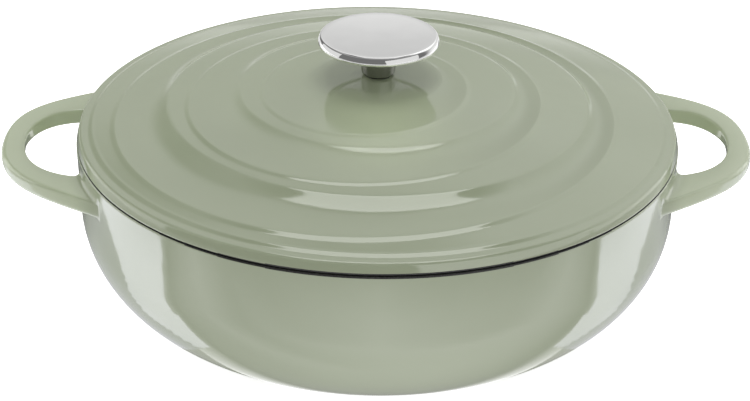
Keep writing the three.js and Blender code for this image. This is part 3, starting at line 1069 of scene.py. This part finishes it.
def surroundings():
    """Mirrors see a wall of light in a dark room, the camera sees white, and diffuse light is even."""
    world = bpy.data.worlds.new("studio")
    bpy.context.scene.world = world
    world.use_nodes = True
    tree = world.node_tree
    background = tree.nodes["Background"]
    where = tree.nodes.new("ShaderNodeTexCoord").outputs["Generated"]
    parts = add(tree, "ShaderNodeSeparateXYZ", Vector=where)
    turn = math_node(tree, "ARCTAN2", parts.outputs["X"], parts.outputs["Y"])
    height = parts.outputs["Z"]
    bright = ramp(tree, height, [(stop, grey(level)) for stop, level in LIGHT_WALL])
    dark = ramp(tree, height, [(stop, grey(level)) for stop, level in DARK_ROOM])

    def by_azimuth(start, stop, low, high):
        return eased(tree, turn, math.radians(start), math.radians(stop), low, high)

    left = by_azimuth(*WALL_LEFT)
    right = by_azimuth(*WALL_RIGHT)
    boost = by_azimuth(*WALL_BOOST)
    sector = math_node(tree, "MULTIPLY", left, right)
    wall = math_node(tree, "MULTIPLY", bright, boost)
    mirrored = tree.nodes.new("ShaderNodeMix")
    tree.links.new(sector, mirrored.inputs["Factor"])
    tree.links.new(dark, mirrored.inputs["A"])
    tree.links.new(wall, mirrored.inputs["B"])
    path = tree.nodes.new("ShaderNodeLightPath")
    level = mirrored.outputs["Result"]
    for ray, shown in (("Is Diffuse Ray", DIFFUSE_LEVEL), ("Is Camera Ray", CAMERA_LEVEL)):
        blend = tree.nodes.new("ShaderNodeMix")
        tree.links.new(path.outputs[ray], blend.inputs["Factor"])
        tree.links.new(level, blend.inputs["A"])
        blend.inputs["B"].default_value = shown
        level = blend.outputs["Result"]
    tree.links.new(level, background.inputs["Strength"])
    background.inputs["Color"].default_value = (1, 1, 1, 1)


def floor():
    """Pale floor that the camera sees as white, with the pan's shadow on it. Mirrors see it darker."""
    mesh = bpy.data.meshes.new("floor")
    quarters = ((-1, -1), (1, -1), (1, 1), (-1, 1))
    corners = [(x * STAGE_REACH, y * STAGE_REACH, STAGE_LEVEL) for x, y in quarters]
    mesh.from_pydata(corners, [], [(0, 1, 2, 3)])
    material, tree, shader = shader_of("pale_floor")
    shader.inputs["Base Color"].default_value = (*grey(STAGE_GREY), 1)
    shader.inputs["Roughness"].default_value = STAGE_ROUGHNESS
    shader.inputs["Emission Color"].default_value = (1, 1, 1, 1)
    path = tree.nodes.new("ShaderNodeLightPath")
    direct = math_node(tree, "MAXIMUM", path.outputs["Is Camera Ray"], path.outputs["Is Transmission Ray"])
    seen = math_node(tree, "MULTIPLY", direct, STAGE_SHOWN)
    mirrored = math_node(tree, "MULTIPLY", path.outputs["Is Glossy Ray"], STAGE_MIRRORED)
    shown = math_node(tree, "ADD", seen, mirrored)
    tree.links.new(shown, shader.inputs["Emission Strength"])
    mesh.materials.append(material)
    obj = bpy.data.objects.new("floor", mesh)
    bpy.context.scene.collection.objects.link(obj)


def card(name, points, faces, glow, colour=(1, 1, 1), one_sided=False):
    """White card on the floor that shines with a given level at each corner. The camera doesn't see it."""
    mesh = bpy.data.meshes.new(name)
    mesh.from_pydata([(x * MM, y * MM, CARD_LEVEL + rise * MM) for x, y, rise in points], [], faces)
    levels = mesh.attributes.new("glow", "FLOAT", "POINT")
    levels.data.foreach_set("value", glow)
    material = bpy.data.materials.new(name)
    material.use_nodes = True
    tree = material.node_tree
    tree.nodes.clear()
    level = tree.nodes.new("ShaderNodeAttribute")
    level.attribute_name = "glow"
    shine = add(tree, "ShaderNodeEmission", Color=(*colour, 1), Strength=level.outputs["Fac"])
    surface = shine.outputs["Emission"]
    if one_sided:
        sides = tree.nodes.new("ShaderNodeMixShader")
        tree.links.new(tree.nodes.new("ShaderNodeNewGeometry").outputs["Backfacing"], sides.inputs["Fac"])
        tree.links.new(surface, sides.inputs[1])
        tree.links.new(tree.nodes.new("ShaderNodeBsdfTransparent").outputs["BSDF"], sides.inputs[2])
        surface = sides.outputs["Shader"]
    output = tree.nodes.new("ShaderNodeOutputMaterial")
    tree.links.new(surface, output.inputs["Surface"])
    mesh.materials.append(material)
    obj = bpy.data.objects.new(name, mesh)
    obj.visible_camera = False
    obj.visible_shadow = False
    bpy.context.scene.collection.objects.link(obj)
    return obj


def grid_faces(rows, columns):
    faces = []
    for row in range(rows):
        for column in range(columns):
            k = row * (columns + 1) + column
            faces.append((k, k + 1, k + columns + 2, k + columns + 1))
    return faces


def along(line, x):
    """Height of a broken line at x."""
    for (x0, y0), (x1, y1) in zip(line, line[1:]):
        if x <= x1:
            return mix(y0, y1, (x - x0) / (x1 - x0))
    return line[-1][1]


def side_card(side):
    """Slatted card beside the pan, which the wall mirrors as an upright band in front and not at the back."""
    points = []
    glow = []
    faces = []
    for column in range(SIDE_CARD_NEAR[0][0] // SLAT_WIDTH, SIDE_CARD_NEAR[-1][0] // SLAT_WIDTH):
        x = SLAT_WIDTH * (column + 0.5)
        fade = math.prod(ramped(x, *stretch) for stretch in SIDE_CARD_FADES)
        near = ramped(x, *SIDE_CARD_NEAR_GLOW) * fade
        far = ramped(x, *SIDE_CARD_FAR_GLOW) * fade
        start = along(SIDE_CARD_NEAR, x)
        stop = along(SIDE_CARD_FAR, x)
        for slat in range(round(start / SLAT_PITCH), round(stop / SLAT_PITCH)):
            first = len(points)
            for shift, up in ((-0.5, 0), (0.5, 0), (0.5, SLAT_OVERLAP), (-0.5, SLAT_OVERLAP)):
                y = SLAT_PITCH * (slat + up)
                points.append((side * (x + shift * SLAT_WIDTH), y, SLAT_PITCH * up))
                glow.append(mix(near, far, (y - start) / (stop - start)) * SIDE_CARD_DIM[side])
            faces.append([first + corner for corner in range(4)][::side])
    name = f"side_card_{side}"
    card(name, points, faces, glow, SIDE_CARD_COLOUR, one_sided=True).visible_diffuse = False


def side_floor(side):
    """Dimmer floor behind a side card."""
    points = []
    glow = []
    for column in range(SIDE_FLOOR_COLUMNS + 1):
        x = mix(SIDE_CARD_NEAR[0][0], SIDE_CARD_NEAR[-1][0], column / SIDE_FLOOR_COLUMNS)
        for distance, level in SIDE_FLOOR:
            points.append((side * x, along(SIDE_CARD_FAR, x) + distance, 0))
            glow.append(level)
    faces = grid_faces(SIDE_FLOOR_COLUMNS, len(SIDE_FLOOR) - 1)
    card(f"side_floor_{side}", points, faces, glow, SIDE_CARD_COLOUR).visible_diffuse = False


def bounce_ring():
    """Ring of floor that lights the wall from below."""
    points = []
    glow = []
    for radius, share in BOUNCE_ROWS:
        for k in range(BOUNCE_SEGMENTS + 1):
            angle = 2 * math.pi * k / BOUNCE_SEGMENTS
            points.append((radius * math.sin(angle), -radius * math.cos(angle), 0))
            glow.append(share * mix(BOUNCE_BACK, BOUNCE_FRONT, smooth((1 + math.cos(angle)) / 2)))
    faces = grid_faces(len(BOUNCE_ROWS) - 1, BOUNCE_SEGMENTS)
    card("bounce_ring", points, faces, glow).visible_glossy = False


def front_floor():
    """Pale floor in front of the pan, for mirrors only."""
    points = []
    glow = []
    for distance, level, share in FRONT_FLOOR:
        for x, side_share in FRONT_FLOOR_COLUMNS:
            points.append((x, -distance, 0))
            glow.append(level if side_share is None else level * share * side_share)
    faces = grid_faces(len(FRONT_FLOOR) - 1, len(FRONT_FLOOR_COLUMNS) - 1)
    card("front_floor", points, faces, glow).visible_diffuse = False


def receivers(name, finishes):
    """The pieces with given finishes, as a group that a lamp can be kept to."""
    group = bpy.data.collections.new(name)
    for piece in bpy.data.objects:
        if piece.type == "MESH" and any(finish.name in piece.data.materials for finish in finishes):
            group.objects.link(piece)
    return group


def mirrored_panel(name, centre, target, size, groups, levels):
    """Soft light that only mirrors show, with a level for each group of pieces."""
    for group, radiance in levels.items():
        lamp = panel(f"{name}_{group}", centre, target, *size, radiance)
        lamp.visible_diffuse = False
        lamp.light_linking.receiver_collection = groups[group]


def strip(azimuth, breadth, groups, levels):
    """Soft light low at one side."""
    centre = around(azimuth, STRIP_ELEVATION, STRIP_DISTANCE) + STRIP_AIM
    width = 2 * STRIP_DISTANCE * math.tan(math.radians(breadth / 2))
    mirrored_panel(f"strip_{azimuth}", centre, STRIP_AIM, (width, STRIP_HEIGHT), groups, levels)


def lamps():
    groups = {
        "glazed": receivers("glazed", (ENAMEL,)),
        "metal": receivers("metal", (POLISHED, TURNED, ZINC, RUBBER)),
    }
    above = (*MIRRORED_SPOT, OVERHEAD_RISE)
    mirrored_panel("overhead", above, (*MIRRORED_SPOT, 0), MIRRORED_SIZE, groups, MIRRORED_LEVELS)
    above = (*OVERHEAD_SPOT, OVERHEAD_RISE)
    fills = [panel("overhead", above, (*OVERHEAD_SPOT, 0), *OVERHEAD_SIZE, OVERHEAD_LEVEL)]
    fills.append(panel("front_fill", FRONT_FILL_PLACE, FILL_AIM, *FRONT_FILL_SIZE, FRONT_FILL_LEVEL))
    for side in SIDES:
        beside = around(side * SIDE_FILL_AZIMUTH, SIDE_FILL_ELEVATION, SIDE_FILL_DISTANCE)
        fills.append(panel(f"side_fill_{side}", beside, FILL_AIM, *SIDE_FILL_SIZE, SIDE_FILL_LEVEL))
    snoot = panel("snoot", SNOOT_PLACE, SNOOT_AIM, *SNOOT_SIZE, SNOOT_LEVEL)
    snoot.data.spread = math.radians(SNOOT_SPREAD)
    for lamp in (*fills, snoot):
        lamp.visible_glossy = False
    bounce_ring()
    front_floor()
    for azimuth, breadth, levels in STRIPS:
        strip(azimuth, breadth, groups, levels)
    for side in SIDES:
        side_card(side)
        side_floor(side)


surroundings()
floor()
lamps()


# Camera, fitted to the photograph's outlines

CAMERA_PLACE = Vector((-30.96, -871.67, 502.82)) * MM
CAMERA_AIM = Vector((0, 0, 55.14)) * MM
CAMERA_ROLL = math.radians(0.81)
CAMERA_LENS = 96.51
SENSOR_WIDTH = 36
CLIP_START = 0.05
IMAGE_SHIFT = (-0.0024, -0.0250)


def camera():
    lens = bpy.data.cameras.new("camera")
    lens.sensor_width = SENSOR_WIDTH
    lens.lens = CAMERA_LENS
    lens.shift_x, lens.shift_y = IMAGE_SHIFT
    lens.clip_start = CLIP_START
    back = (CAMERA_PLACE - CAMERA_AIM).normalized()
    right = Vector((0, 0, 1)).cross(back).normalized()
    up = back.cross(right)
    turned_right = right * math.cos(CAMERA_ROLL) + up * math.sin(CAMERA_ROLL)
    turned_up = up * math.cos(CAMERA_ROLL) - right * math.sin(CAMERA_ROLL)
    obj = bpy.data.objects.new("camera", lens)
    obj.matrix_world = Matrix((
        (turned_right.x, turned_up.x, back.x, CAMERA_PLACE.x),
        (turned_right.y, turned_up.y, back.y, CAMERA_PLACE.y),
        (turned_right.z, turned_up.z, back.z, CAMERA_PLACE.z),
        (0, 0, 0, 1),
    ))
    bpy.context.scene.collection.objects.link(obj)
    bpy.context.scene.camera = obj


camera()
bpy.context.scene.view_settings.view_transform = "Standard"
